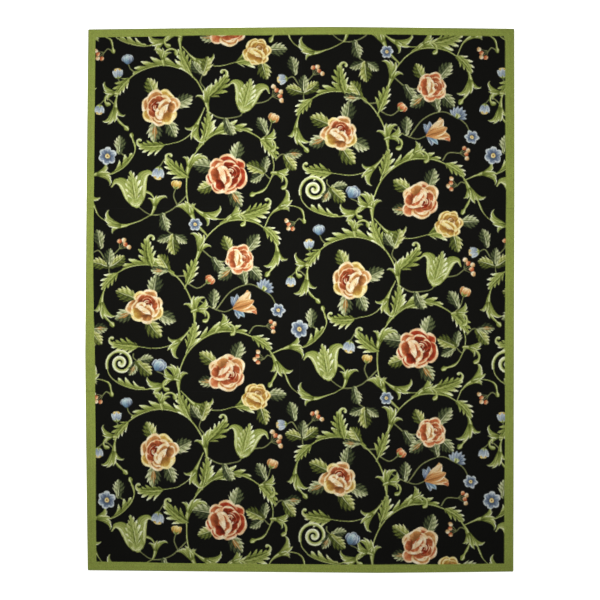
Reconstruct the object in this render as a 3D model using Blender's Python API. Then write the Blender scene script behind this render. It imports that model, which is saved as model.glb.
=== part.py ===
"""Hooked rug: wool loops hooked through one rectangle of canvas, lying flat.

The rug is a single piece. Its plain border is hooked into the same canvas as
the field, so nothing is sewn on. The sides bow out a little between the
corners, as they do on a rug that was hooked and steamed by hand.

Frame: the origin lies on the floor under the middle of the rug, +X runs
across it, +Y along its length and +Z up. Sizes are in metres.
"""

import math
from dataclasses import dataclass

import bmesh
import bpy
from mathutils import Vector

# Overall size of the rug, over its bowed sides and its pile.
RUG_WIDTH = 2.350
RUG_LENGTH = 2.990
RUG_THICKNESS = 0.010

# The pile rolls over at the edge, and the canvas is turned under there.
RIM_RADIUS = 0.0055
RIM_STEPS = 5
UNDER_EDGE_RADIUS = 0.0012
UNDER_EDGE_STEPS = 2
CORNER_RADIUS = 0.007
CORNER_STEPS = 4

# A side is drawn with this many straight steps, and each peak falls on one.
SIDE_STEPS = 25
# Share of a side's bow that is round. The rest is a straight taper.
BOW_ROUNDNESS = 0.3

# Near-black wool, as the field of the rug.
WOOL_COLOUR = (0.010, 0.010, 0.009, 1.0)
WOOL_ROUGHNESS = 0.95


@dataclass(frozen=True)
class Corner:
    """One corner, set in from the corner of the overall rectangle."""

    across: int
    along: int
    inset_across: float
    inset_along: float

    def point(self) -> Vector:
        """Return the corner's place in the plane of the floor."""
        return Vector(
            (
                self.across * (RUG_WIDTH / 2 - self.inset_across),
                self.along * (RUG_LENGTH / 2 - self.inset_along),
            )
        )


@dataclass(frozen=True)
class Side:
    """One side, which bows out to the overall rectangle at its peak."""

    start: Corner
    end: Corner
    outward: tuple[int, int]
    peak: float

    def bow(self, place: float) -> float:
        """Return how much of its bow the side has at a place from 0 to 1."""
        if place < self.peak:
            rise = place / self.peak
        else:
            rise = (1 - place) / (1 - self.peak)
        rounded = math.sin(rise * math.pi / 2)
        return (1 - BOW_ROUNDNESS) * rise + BOW_ROUNDNESS * rounded

    def reach(self) -> float:
        """Return how far the peak lies outside the line between corners."""
        outward = Vector(self.outward)
        half = RUG_WIDTH / 2 if outward.x else RUG_LENGTH / 2
        chord = self.start.point().lerp(self.end.point(), self.peak)
        return half - chord.dot(outward)

    def points(self) -> list[Vector]:
        """Return the side's points, from its start up to, not with, its end."""
        start = self.start.point()
        end = self.end.point()
        outward = Vector(self.outward) * self.reach()
        places = [step / SIDE_STEPS for step in range(SIDE_STEPS)]
        return [start.lerp(end, place) + outward * self.bow(place) for place in places]


BOTTOM_LEFT = Corner(across=-1, along=-1, inset_across=0.0138, inset_along=0.0144)
BOTTOM_RIGHT = Corner(across=1, along=-1, inset_across=0.0060, inset_along=0.0073)
TOP_RIGHT = Corner(across=1, along=1, inset_across=0.0011, inset_along=0.0110)
TOP_LEFT = Corner(across=-1, along=1, inset_across=0.0165, inset_along=0.0143)

SIDES = (
    Side(start=BOTTOM_LEFT, end=BOTTOM_RIGHT, outward=(0, -1), peak=0.68),
    Side(start=BOTTOM_RIGHT, end=TOP_RIGHT, outward=(1, 0), peak=0.72),
    Side(start=TOP_RIGHT, end=TOP_LEFT, outward=(0, 1), peak=0.44),
    Side(start=TOP_LEFT, end=BOTTOM_LEFT, outward=(-1, 0), peak=0.60),
)


def clear_scene() -> None:
    """Remove every object of the open file."""
    for old in list(bpy.data.objects):
        bpy.data.objects.remove(old, do_unlink=True)


def wool_pile() -> bpy.types.Material:
    """Return the wool of the rug's field."""
    material = bpy.data.materials.new("wool_pile")
    material.use_nodes = True
    shader = material.node_tree.nodes["Principled BSDF"]
    shader.inputs["Base Color"].default_value = WOOL_COLOUR
    shader.inputs["Roughness"].default_value = WOOL_ROUGHNESS
    shader.inputs["Metallic"].default_value = 0.0
    return material


def draw_outline(mesh: bmesh.types.BMesh) -> list[bmesh.types.BMVert]:
    """Draw the rug's outline on the floor as one face and return its corners."""
    verts = []
    corners = []
    for side in SIDES:
        drawn = [mesh.verts.new((point.x, point.y, 0.0)) for point in side.points()]
        corners.append(drawn[0])
        verts.extend(drawn)
    mesh.faces.new(verts)
    return corners


def round_corners(mesh: bmesh.types.BMesh, corners: list[bmesh.types.BMVert]) -> None:
    """Round the corners of the outline."""
    bmesh.ops.bevel(
        mesh,
        geom=corners,
        offset=CORNER_RADIUS,
        segments=CORNER_STEPS,
        profile=0.5,
        affect="VERTICES",
    )


def raise_slab(mesh: bmesh.types.BMesh) -> None:
    """Raise the outline into a slab with its underside on the floor."""
    top = bmesh.ops.extrude_face_region(mesh, geom=mesh.faces[:], use_keep_orig=True)
    raised = [item for item in top["geom"] if isinstance(item, bmesh.types.BMVert)]
    bmesh.ops.translate(mesh, verts=raised, vec=(0, 0, RUG_THICKNESS))
    bmesh.ops.recalc_face_normals(mesh, faces=mesh.faces)


def round_rim(mesh: bmesh.types.BMesh, height: float, radius: float, steps: int) -> None:
    """Round the slab's edge at one height."""
    rim = [
        edge
        for edge in mesh.edges
        if all(math.isclose(vert.co.z, height, abs_tol=1e-6) for vert in edge.verts)
    ]
    bmesh.ops.bevel(
        mesh,
        geom=rim,
        offset=radius,
        segments=steps,
        profile=0.5,
        affect="EDGES",
        clamp_overlap=True,
    )


def build_rug() -> bpy.types.Object:
    """Build the rug as one closed solid."""
    mesh = bmesh.new()
    round_corners(mesh, draw_outline(mesh))
    raise_slab(mesh)
    round_rim(mesh, RUG_THICKNESS, RIM_RADIUS, RIM_STEPS)
    round_rim(mesh, 0.0, UNDER_EDGE_RADIUS, UNDER_EDGE_STEPS)
    bmesh.ops.triangulate(mesh, faces=[face for face in mesh.faces if len(face.verts) > 4])

    data = bpy.data.meshes.new("hooked_rug")
    mesh.to_mesh(data)
    mesh.free()
    data.materials.append(wool_pile())
    rug = bpy.data.objects.new("hooked_rug", data)
    bpy.context.scene.collection.objects.link(rug)
    return rug


def shade_rug(rug: bpy.types.Object) -> None:
    """Shade the rolled rim smooth and keep the flat faces flat."""
    rug.data.shade_smooth()
    rug.data.set_sharp_from_angle(angle=math.radians(40))


def main() -> None:
    """Build the rug in an empty scene."""
    clear_scene()
    shade_rug(build_rug())


main()
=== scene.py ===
"""Looks of the hooked rug: the yarn of each loop, the pile, the canvas and the studio."""

import logging
import math
from collections.abc import Callable, Iterable, Iterator
from dataclasses import dataclass
from enum import Enum
from functools import cached_property

import bpy
import numpy as np
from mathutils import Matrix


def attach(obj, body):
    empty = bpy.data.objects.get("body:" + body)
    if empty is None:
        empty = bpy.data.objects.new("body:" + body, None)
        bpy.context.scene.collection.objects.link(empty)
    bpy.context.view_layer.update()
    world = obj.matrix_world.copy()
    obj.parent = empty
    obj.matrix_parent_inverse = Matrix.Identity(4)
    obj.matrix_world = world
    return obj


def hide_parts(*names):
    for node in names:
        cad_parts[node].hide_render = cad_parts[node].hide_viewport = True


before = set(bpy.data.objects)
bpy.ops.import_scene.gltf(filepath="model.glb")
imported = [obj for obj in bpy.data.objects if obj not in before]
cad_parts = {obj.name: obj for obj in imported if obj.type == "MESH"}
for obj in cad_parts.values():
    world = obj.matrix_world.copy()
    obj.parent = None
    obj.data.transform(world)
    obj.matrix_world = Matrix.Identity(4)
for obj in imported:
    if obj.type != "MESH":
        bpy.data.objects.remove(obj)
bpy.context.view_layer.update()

log = logging.getLogger("hooked_rug")

# The pattern is drawn in centimetres, with x across the rug and y along it. Angles are in degrees.
CM = 0.01
SAMPLE = 0.2

Knots = tuple[tuple[float, float], ...]
Profile = Callable[[np.ndarray], np.ndarray]
Toning = Callable[[np.ndarray, np.ndarray], np.ndarray]


class Dye(Enum):
    """The yarns of one colour, from dark to light, as display red, green and blue."""

    GROUND = ((9, 9, 7), (14, 14, 11), (20, 20, 16))
    BORDER = ((96, 108, 38), (130, 143, 60), (144, 156, 76), (156, 168, 88))
    SCROLL = ((54, 60, 22), (104, 115, 49), (144, 154, 79), (180, 187, 118), (218, 222, 172), (242, 244, 216))
    STEM = ((62, 66, 38), (108, 114, 70), (146, 150, 98), (178, 180, 132))
    LEAF = ((36, 42, 26), (70, 78, 48), (114, 121, 79), (156, 162, 116), (196, 198, 154), (222, 224, 188))
    OLIVE = ((48, 54, 24), (88, 97, 42), (130, 137, 66), (168, 171, 100), (206, 207, 148), (228, 229, 184))
    RUST = ((108, 74, 36), (160, 114, 58), (190, 148, 86), (214, 183, 122))
    RED = ((78, 26, 14), (124, 40, 22), (158, 56, 32), (184, 90, 54), (220, 180, 134), (237, 222, 185))
    CORAL = ((92, 42, 22), (144, 70, 38), (182, 98, 58), (204, 134, 88), (224, 186, 140), (239, 224, 189))
    PEACH = ((96, 54, 26), (150, 98, 52), (188, 130, 74), (208, 163, 106), (228, 203, 153), (241, 228, 195))
    CREAM = ((148, 98, 56), (190, 148, 96), (218, 190, 142), (234, 219, 185), (246, 240, 216))
    GOLD = ((110, 68, 30), (158, 112, 50), (184, 146, 66), (206, 175, 94), (226, 205, 134), (239, 227, 175))
    BLUE = ((30, 36, 48), (68, 79, 96), (110, 124, 142), (146, 158, 168), (188, 197, 198), (222, 226, 218))
    SKY = ((56, 74, 100), (94, 120, 142), (132, 158, 170), (172, 194, 194), (208, 220, 208))

    def shade(self, tone: np.ndarray) -> np.ndarray:
        """Return the display colour at each tone, from 0 for the darkest yarn to 1 for the lightest."""
        rows = np.array(self.value, float).T / 255
        return np.stack([np.interp(tone, np.linspace(0, 1, len(self.value)), row) for row in rows], axis=-1)


def smooth(low: float, high: float, value: np.ndarray) -> np.ndarray:
    """Return a soft step from 0 at low to 1 at high."""
    share = np.clip((value - low) / (high - low), 0, 1)
    return share * share * (3 - 2 * share)


def lobe(place: np.ndarray) -> np.ndarray:
    """Return the height of a pointed lobe that leans forward, with two small teeth on its back."""
    return smooth(0.0, 0.96, place) ** 0.8 * (0.90 + 0.16 * ((2.6 * place + 0.4) % 1.0))


def peak(value: np.ndarray, middle: float, width: float | np.ndarray) -> np.ndarray:
    """Return a soft peak of 1 at a middle, down to about a third at each side of its width."""
    return np.exp(-(((value - middle) / width) ** 2))


def bulge(place: np.ndarray, start: float = 0.0, lean: float = 1.0, full: float = 1.0) -> np.ndarray:
    """Return a rise to 1 and a fall to 0 along a shape, from a start that may be above 0."""
    return np.maximum(np.sin(np.pi * np.clip(start + (1 - start) * place, 0, 1) ** lean), 0) ** full


def turned(x: float, y: float, degrees: float) -> np.ndarray:
    """Return a point turned about the origin."""
    angle = math.radians(degrees)
    return np.array((x * math.cos(angle) - y * math.sin(angle), x * math.sin(angle) + y * math.cos(angle)))


def chance(*numbers: float) -> float:
    """Make a number that looks random but always follows from the numbers given.

    Args:
        numbers: Whatever sets the place apart, such as where it is.

    Returns:
        A number from -1 to 1.
    """
    weighed = sum(number * (12.9898 + 7.31 * place) for place, number in enumerate(numbers, start=1))
    mixed = math.sin(weighed) * 43758.5453
    return 2 * (mixed - math.floor(mixed)) - 1


@dataclass
class YarnChart:
    """One repeat of the pattern. The next column of repeats is dropped by half a repeat."""

    columns: int = 528
    rows: int = 948

    def __post_init__(self) -> None:
        """Fill the chart with the ground yarn."""
        self.colours = np.tile(Dye.GROUND.shade(np.array(0.5)), (self.rows, self.columns, 1))
        self.motif = np.zeros((self.rows, self.columns))

    def window(self, low: np.ndarray, high: np.ndarray) -> tuple[np.ndarray, np.ndarray]:
        """Return the numbers of the columns and rows between two corners given in centimetres."""
        first, last = np.floor(low / SAMPLE).astype(int), np.ceil(high / SAMPLE).astype(int)
        return np.arange(first[0], last[0] + 1), np.arange(first[1], last[1] + 1)

    def lay(self, across: np.ndarray, along: np.ndarray, cover: np.ndarray, colour: np.ndarray) -> None:
        """Lay yarn over a window, in whichever repeats it falls.

        Args:
            across: Column numbers of the window, which may lie outside the repeat.
            along: Row numbers of the window.
            cover: Share of each sample that the yarn covers.
            colour: Display colour of the yarn at each sample.
        """
        repeat = across // self.columns
        for number in np.unique(repeat):
            here = repeat == number
            rows = (along - number * (self.rows // 2)) % self.rows
            place = np.ix_(rows, across[here] - number * self.columns)
            share = cover[:, here]
            self.colours[place] += (colour[:, here] - self.colours[place]) * share[..., None]
            self.motif[place] += (1 - self.motif[place]) * share

    def look_up(self, x: np.ndarray, y: np.ndarray) -> tuple[np.ndarray, np.ndarray]:
        """Read the chart.

        Args:
            x: Places across the pattern, in centimetres.
            y: Places along it.

        Returns:
            The yarn's display colour and the share of motif at each place.
        """
        across = np.floor(x / SAMPLE).astype(int)
        repeat = across // self.columns
        along = (np.floor(y / SAMPLE).astype(int) - repeat * (self.rows // 2)) % self.rows
        across = across - repeat * self.columns
        return self.colours[along, across], self.motif[along, across]


class Spine:
    """A smooth line through the pattern, which a ribbon of yarn follows."""

    KNOT_SPACING = 0.9
    CURL_SPACING = 0.7
    CURL_DEGREES = 14
    FAR = 1e9

    def __init__(self, points: np.ndarray) -> None:
        """Measure the line.

        Args:
            points: The line's points, in centimetres, close together.
        """
        self.points = np.asarray(points, float)
        steps = np.hypot(*np.diff(self.points, axis=0).T)
        self.length = float(steps.sum())
        self.along = np.concatenate(([0.0], np.cumsum(steps))) / self.length

    @classmethod
    def through(cls, knots: Knots | np.ndarray) -> "Spine":
        """Run a smooth line through a few knots.

        Args:
            knots: Places that the line passes, in order.

        Returns:
            The line.
        """
        knots = np.array(knots, float)
        ends = np.vstack([2 * knots[0] - knots[1], knots, 2 * knots[-1] - knots[-2]])
        points = []
        for a, b, c, d in zip(ends, ends[1:], ends[2:], ends[3:]):
            count = max(2, round(float(np.hypot(*(c - b))) / cls.KNOT_SPACING))
            t = np.linspace(0, 1, count, endpoint=False)[:, None]
            curve = (2 * a - 5 * b + 4 * c - d) * t**2 + (3 * b - a - 3 * c + d) * t**3
            points.append(0.5 * (2 * b + (c - a) * t + curve))
        return cls(np.vstack(points + [knots[-1:]]))

    @classmethod
    def curl(
        cls, start: np.ndarray, heading: float, length: float, bend: float, tighten: float = 0.0
    ) -> "Spine":
        """Run a line from a point and curl it.

        Args:
            start: Where the line starts.
            heading: Direction at the start, in degrees from +x.
            length: Length of the line.
            bend: Whole turn of the line in degrees, positive to the left.
            tighten: How much of the turn is gathered towards the end, from 0 to 1.

        Returns:
            The line.
        """
        count = max(5, round(length / cls.CURL_SPACING), round(abs(bend) / cls.CURL_DEGREES))
        middle = (np.arange(count) + 0.5) / count
        angle = np.radians(heading + bend * ((1 - tighten) * middle + tighten * middle**3))
        steps = np.stack([np.cos(angle), np.sin(angle)], axis=1) * (length / count)
        return cls(np.vstack([np.zeros(2), np.cumsum(steps, axis=0)]) + np.asarray(start))

    @classmethod
    def around(cls, middle: np.ndarray, degrees: np.ndarray, radius: float | np.ndarray) -> "Spine":
        """Run a line round a middle, through points at the given angles and distances."""
        angle = np.radians(degrees)
        return cls(np.stack([np.cos(angle) * radius, np.sin(angle) * radius], axis=1) + middle)

    def lengthened(self, extra: float) -> "Spine":
        """Return the line with a straight piece of this length added at its end."""
        step = self.points[-1] - self.points[-2]
        return Spine(np.vstack([self.points, self.points[-1] + step * (extra / np.hypot(*step))]))

    def at(self, place: float) -> tuple[np.ndarray, float]:
        """Find a point of the line.

        Args:
            place: How far along the line it is, from 0 to 1.

        Returns:
            The point, and the line's heading there in degrees.
        """
        point = np.array([np.interp(place, self.along, self.points[:, k]) for k in range(2)])
        number = min(int(np.searchsorted(self.along, place, side="right")), len(self.points) - 1)
        step = self.points[max(number, 1)] - self.points[max(number, 1) - 1]
        return point, math.degrees(math.atan2(step[1], step[0]))

    def beside(self, chart: YarnChart, reach: float) -> tuple[np.ndarray, ...]:
        """Find where the samples near the line lie.

        Args:
            chart: The chart whose samples are measured.
            reach: Distance from the line within which samples are measured.

        Returns:
            The window's column and row numbers, then for each of its samples the place
            along the line from 0 to 1 and the distance across it, positive on the left.
        """
        across, along = chart.window(self.points.min(axis=0) - reach, self.points.max(axis=0) + reach)
        x, y = (across + 0.5) * SAMPLE, (along + 0.5) * SAMPLE
        nearest = np.full((len(y), len(x)), self.FAR)
        place, side = np.zeros_like(nearest), np.ones_like(nearest)
        for number, (a, b) in enumerate(zip(self.points, self.points[1:])):
            low, high = np.minimum(a, b) - reach, np.maximum(a, b) + reach
            box = tuple(slice(*np.searchsorted(line, (low[k], high[k]))) for line, k in ((y, 1), (x, 0)))
            step = b - a
            dx, dy = x[box[1]][None, :] - a[0], y[box[0]][:, None] - a[1]
            share = np.clip((dx * step[0] + dy * step[1]) / (step @ step), 0, 1)
            away = np.hypot(dx - share * step[0], dy - share * step[1])
            passed = self.along[number] + share * (self.along[number + 1] - self.along[number])
            left = np.where(step[0] * dy - step[1] * dx >= 0, 1.0, -1.0)
            closer = away < nearest[box]
            for kept, found in ((nearest, away), (place, passed), (side, left)):
                np.copyto(kept[box], found, where=closer)
        return across, along, place, nearest * side


class Motif:
    """Something that is hooked into the chart. Most motifs are made of smaller ones."""

    def parts(self) -> Iterable["Motif"]:
        """Return the smaller motifs that make this one, lowest first."""
        return ()

    def hook(self, chart: YarnChart) -> None:
        """Hook every part into the chart."""
        for part in self.parts():
            part.hook(chart)


@dataclass(frozen=True)
class Placed(Motif):
    """A motif at a place of the pattern, in centimetres, that points along its turn, in degrees from +x."""

    x: float
    y: float
    turn: float

    @cached_property
    def own(self) -> float:
        """Return a number from -1 to 1 that sets this motif apart from the others."""
        return chance(self.x, self.y, self.turn)

    def out(self, distance: float, lean: float = 0.0) -> np.ndarray:
        """Return the point at a distance from the motif's place, at a lean from its turn."""
        return np.array((self.x, self.y)) + turned(distance, 0, self.turn + lean)


@dataclass(frozen=True)
class Ribbon(Motif):
    """A band of yarn along a spine, as wide on its right as on its left unless a right is given.

    A slant sweeps the edges and the shading forward, and a flare bends the swept lines. A
    pointed ribbon with a slant runs out to a tip past the end of its spine.
    """

    spine: Spine
    half: Profile
    tone: Toning
    dye: Dye
    right: Profile | None = None
    slant: float = 0.0
    flare: float = 0.0
    pointed: bool = True

    def hook(self, chart: YarnChart) -> None:
        """Hook the band, with the streaks of its yarn.

        Args:
            chart: The chart that the yarn is laid in.
        """
        right = self.right or self.half
        places = np.linspace(0, 1, 60)
        reach = float(max(self.half(places).max(), right(places).max())) + 2 * SAMPLE
        swept = self.pointed and self.slant > 0
        spine = self.spine.lengthened(self.slant * reach) if swept else self.spine
        across, along, place, offset = spine.beside(chart, reach)
        away = np.abs(offset)
        lead = self.slant * away * (1 + self.flare * (0.3 - 0.6 * away / reach))
        place = (place * spine.length - lead) / self.spine.length
        within, place = place <= 1, np.clip(place, 0, 1)
        half = np.maximum(np.where(offset >= 0, self.half(place), right(place)), 1e-6)
        cover = np.clip((half - away) / SAMPLE + 0.5, 0, 1) * (within if swept else 1)
        own = 3.7 * self.spine.length
        run = place * self.spine.length
        strand = offset * 2.9 + run * 0.23
        streak = 0.07 * np.sin(1.9 * strand + own) + 0.055 * np.sin(4.3 * strand - 0.9 * run + own)
        tone = self.tone(place, np.clip(offset / half, -1, 1)) + streak
        chart.lay(across, along, cover, self.dye.shade(np.clip(tone, 0, 1)))


@dataclass(frozen=True)
class Petal(Placed):
    """A rounded petal with an uneven outline, dark at its root, with a light rim that folds over."""

    deep: float
    wide: float
    dye: Dye
    root: float = 0.1
    tip: float = 0.7
    rim: float = 0.95
    rim_from: float = 0.8
    wave: float = 0.04
    fold: float = 0.0

    def hook(self, chart: YarnChart) -> None:
        """Hook the petal.

        Args:
            chart: The chart that the yarn is laid in.
        """
        reach = max(self.deep, self.wide) * (1 + 3 * self.wave) + SAMPLE
        middle = self.out(0)
        across, along = chart.window(middle - reach, middle + reach)
        dx = ((across + 0.5) * SAMPLE - self.x)[None, :]
        dy = ((along + 0.5) * SAMPLE - self.y)[:, None]
        angle = math.radians(self.turn)
        out = (dx * math.cos(angle) + dy * math.sin(angle)) / self.deep
        aside = (dy * math.cos(angle) - dx * math.sin(angle)) / self.wide
        about = np.arctan2(aside, out)
        own = 1.7 * self.x + 2.3 * self.y
        waves = np.cos(2 * about + own) + 0.8 * np.cos(3 * about + 1.7 * own)
        waves = waves + 0.6 * np.cos(5 * about + 2.9 * own)
        edge = np.hypot(out, aside) * (1 + self.wave * waves)
        cover = np.clip((1 - edge) * min(self.deep, self.wide) / SAMPLE + 0.5, 0, 1)
        body = self.root + (self.tip - self.root) * smooth(-0.9, 0.9, out + 0.15 * np.sin(3 * aside + own))
        strand = 0.07 * np.sin(7 * aside + 3 * out + own) + 0.04 * np.sin(21 * aside / (1.4 + out) + 2 * own)
        body = body + strand * smooth(-1.2, 0.4, out)
        lip = self.rim_from + 0.05 * np.cos(2 * about + 2 * own)
        lip = lip - self.fold * np.cos(about - chance(self.x, self.y))
        rim = smooth(0.0, 0.12, edge - lip) * smooth(-0.5, 0.2, out) * (0.82 + 0.18 * np.cos(3 * about + own))
        tone = body + (self.rim - body) * rim
        chart.lay(across, along, cover, self.dye.shade(np.clip(tone, 0, 1)))


@dataclass(frozen=True)
class Lip(Placed):
    """A crescent of light yarn round its place: the lip of a petal that folds over."""

    radius: float
    sweep: float
    thick: float
    dye: Dye
    light: float = 0.9

    def parts(self) -> Iterator[Motif]:
        """Return the arc, whose middle faces the turn: thin at its ends and shaded on its inner side."""
        share = np.linspace(0, 1, max(8, round(self.sweep / 7)))
        yield Ribbon(
            Spine.around(self.out(0), self.turn + self.sweep * (share - 0.5), self.radius),
            lambda place: self.thick / 2 * bulge(place, full=0.7),
            lambda place, side: self.light - 0.34 * smooth(0.1, 1.0, side)
            - 0.06 * np.sin(14 * place + self.radius),
            self.dye,
        )


@dataclass(frozen=True)
class Vine(Motif):
    """A thin stem, thick at its root and thin at its end, with a light line along it."""

    knots: Knots
    thick: float
    thin: float

    def parts(self) -> Iterator[Motif]:
        """Return the stem."""
        yield Ribbon(
            Spine.through(self.knots),
            lambda place: (self.thick + (self.thin - self.thick) * place) / 2,
            lambda place, side: 0.5 + 0.3 * side - 0.3 * np.abs(side) ** 3,
            Dye.STEM,
        )


@dataclass(frozen=True)
class Leaf(Placed):
    """A broad leaf with a few large teeth, one half in the light, and pale veins."""

    length: float
    width: float
    bend: float = 14.0
    dye: Dye = Dye.LEAF
    rib: Dye = Dye.LEAF
    stalk: float = 1.6
    teeth: int = 4

    @cached_property
    def bright(self) -> float:
        """Return the side that is in the light, 1 for the left one or -1."""
        facing = 1.0 if math.sin(math.radians(self.turn - 45)) < 0 else -1.0
        return facing if abs(self.own) < 0.8 else -facing

    def saw(self, place: np.ndarray, lag: float | np.ndarray) -> np.ndarray:
        """Return how far each place has come along its tooth, from 0 to 1."""
        return (place**1.1 * self.teeth + lag) % 1.0

    def half(self, place: np.ndarray, lag: float) -> np.ndarray:
        """Return the half width, with teeth that point to the tip."""
        body = bulge(place, 0.05, 0.66, 0.8)
        return self.width / 2 * body * (1.12 - 0.3 * place) * (0.70 + 0.38 * self.saw(place, lag) ** 1.3)

    def tone(self, place: np.ndarray, side: np.ndarray) -> np.ndarray:
        """Shade the leaf: one half lighter than the other, with pale veins and tips.

        Args:
            place: Places along it, from 0 to 1.
            side: Places across it, from -1 on the right to 1 on the left.

        Returns:
            Tones of the yarn.
        """
        wide, lit = np.abs(side), side * self.bright
        tooth = self.saw(place, np.where(side > 0, 0.25, 0.75))
        vein = peak(tooth, 0.6, 0.25) * smooth(0.02, 0.4, wide) * (0.66 + 0.34 * lit)
        crease = peak(tooth, 0.05, 0.16) * smooth(0.15, 0.5, wide)
        flesh = 0.27 + 0.20 * np.tanh(4 * side) * self.bright + 0.06 * place + 0.06 * self.own
        edge = smooth(0.6, 0.98, wide) * (0.55 + 0.45 * lit)
        return flesh + 0.28 * vein - 0.14 * crease + 0.22 * edge - 0.10 * peak(wide, 0, 0.14)

    def parts(self) -> Iterator[Motif]:
        """Return the stalk, the leaf, any warm strands beside its rib, and the pale rib."""
        root = self.out(self.stalk)
        if self.stalk > 0:
            yield Vine(((self.x, self.y), tuple(root)), 0.5, 0.5)
        spine = Spine.curl(root, self.turn, self.length, self.bend)
        yield Ribbon(
            spine, lambda place: self.half(place, 0.25), self.tone, self.dye,
            lambda place: self.half(place, 0.75), slant=0.7,
        )
        for lean, reach in ((-11, 0.55), (13, 0.5), (3, 0.72)) if self.rib is not Dye.LEAF else ():
            yield Ribbon(
                Spine.curl(spine.at(0.14)[0], self.turn + lean, reach * self.length, self.bend),
                lambda place: 0.055 * self.width * bulge(place, full=0.8),
                lambda place, side: 0.3 + 0.3 * place - 0.2 * np.abs(side),
                self.rib,
            )
        yield Ribbon(
            spine,
            lambda place: 0.26 * np.maximum(1 - place, 0) ** 0.7,
            lambda place, side: 0.82 - 0.1 * side,
            Dye.LEAF,
        )


@dataclass(frozen=True)
class Lobe(Placed):
    """One flame-shaped lobe of an acanthus leaf, notched on its outer edge, that turns at its tip."""

    length: float
    width: float
    bend: float
    light: float = 0.0
    tighten: float = 0.5

    @cached_property
    def own(self) -> float:
        """Return a number from -1 to 1 that sets this lobe apart from most others."""
        return chance(self.x, self.turn)

    @cached_property
    def outer(self) -> float:
        """Return the side of the outer edge, 1 for the left or -1."""
        return -math.copysign(1.0, self.bend)

    def half(self, place: np.ndarray, share: float, notch: float) -> np.ndarray:
        """Return the half width on a side with this share of the width, notched this deep and pointed."""
        saw = (1.9 * place + 0.35 + 0.1 * self.own) % 1.0
        return self.width * share * bulge(place, 0.2, 0.92, 0.8) * (1 - notch + 1.35 * notch * saw)

    def tone(self, place: np.ndarray, side: np.ndarray) -> np.ndarray:
        """Shade the lobe: streaks along it, a dark root and crease, and light edges.

        Args:
            place: Places along it, from 0 to 1.
            side: Places across it, from -1 on the right to 1 on the left.

        Returns:
            Tones of the yarn.
        """
        lit = side * self.outer
        streak = 0.07 * np.sin(7 * side + 2.5 * place + 3 * self.own)
        edge = (0.50 * smooth(0.30, 0.92, lit) + 0.22 * smooth(0.7, 1.0, -lit)) * smooth(0.0, 0.3, place)
        crease = 0.12 * peak(lit, -0.15, 0.22) * (1 - place)
        return 0.16 + self.light + 0.10 * lit + 0.36 * place + streak - crease + edge

    def parts(self) -> Iterator[Motif]:
        """Return the lobe, notched on its outer side and plain on its inner one."""
        spine = Spine.curl(self.out(0), self.turn, self.length, self.bend, self.tighten)
        sides = [lambda place: self.half(place, 0.56, 0.24), lambda place: self.half(place, 0.44, 0.0)]
        left, right = sides if self.outer > 0 else sides[::-1]
        yield Ribbon(spine, left, self.tone, Dye.SCROLL, right)


@dataclass(frozen=True)
class Frond(Placed):
    """A long scroll leaf cut into pointed lobes that sweep forward. Its tip may roll into a hook."""

    length: float
    width: float
    bend: float = 0.0
    roll: float = 0.0
    lobes: int = 4
    light: float = 0.0

    @cached_property
    def outer(self) -> float:
        """Return the side of the wider lobes, 1 for the left or -1."""
        return -math.copysign(1.0, self.roll or self.bend or 1.0)

    @cached_property
    def spine(self) -> Spine:
        """Return the leaf's rib, with the roll of its tip."""
        body = Spine.curl(self.out(0), self.turn, self.length, self.bend, 0.3)
        if not self.roll:
            return body
        tip = Spine.curl(body.points[-1], self.turn + self.bend, 0.40 * self.length, self.roll, 0.45)
        return Spine(np.vstack([body.points, tip.points[1:]]))

    @cached_property
    def body(self) -> float:
        """Return the share of the rib that the lobes take, before the roll."""
        return self.length / self.spine.length

    def tooth(self, along: np.ndarray, side: float | np.ndarray) -> np.ndarray:
        """Return how far each place has come along its lobe, from 0 to 1."""
        return (along**1.15 * self.lobes + np.where(side > 0, 0.25, 0.8) + 0.2 * self.own) % 1.0

    def half(self, place: np.ndarray, side: float) -> np.ndarray:
        """Find the half width on one side: lobed, then thin, then a round knob.

        Args:
            place: Places along the rib, from 0 to 1.
            side: 1 for the left side or -1.

        Returns:
            Half widths, in centimetres.
        """
        along = np.clip(place / self.body, 0, 1)
        full = bulge(along, 0, 0.66, 0.8) * (1.12 - 0.25 * along)
        lobed = full * (0.39 + 0.68 * lobe(self.tooth(along, side))) * (1.14 if side == self.outer else 0.84)
        if not self.roll:
            return self.width / 2 * lobed + 0.12
        knob = 0.6 * peak((1 - place) * self.spine.length, 0.6, 0.9)
        return self.width / 2 * lobed + 0.30 + 0.55 * peak(place, self.body, 0.16) + knob

    def tone(self, place: np.ndarray, side: np.ndarray) -> np.ndarray:
        """Shade the leaf: one half in the light, pale lobe tips, dark creases and a pale rib.

        Args:
            place: Places along the rib, from 0 to 1.
            side: Places across it, from -1 on the right to 1 on the left.

        Returns:
            Tones of the yarn.
        """
        along = np.clip(place / self.body, 0, 1)
        wide, notch = np.abs(side), self.tooth(along, side)
        lit = side * (self.outer if self.own > -0.5 else -self.outer)
        crease = peak(notch, 0, 0.22) * smooth(0.08, 0.4, wide) * (1 - 0.6 * smooth(0.6, 1.0, wide))
        pale = smooth(0.34, 0.95, wide) * (0.35 + 0.65 * smooth(0.15, 0.85, notch)) * (0.74 + 0.26 * lit)
        rib = peak(wide, 0, 0.11) - 0.7 * peak(lit, -0.22, 0.13)
        leaf = 0.25 + 0.10 * lit + 0.06 * along + 0.56 * pale - 0.20 * crease
        leaf = leaf + 0.32 * rib * (1 - 0.6 * along)
        hook = 0.62 + 0.24 * side * self.outer - 0.1 * wide**4
        return self.light + leaf + (hook - leaf) * smooth(self.body - 0.08, self.body + 0.02, place)

    def parts(self) -> Iterator[Motif]:
        """Return the leaf."""
        yield Ribbon(
            self.spine, lambda place: self.half(place, 1.0), self.tone, Dye.SCROLL,
            lambda place: self.half(place, -1.0), 0.8, 1.0, not self.roll,
        )


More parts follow.
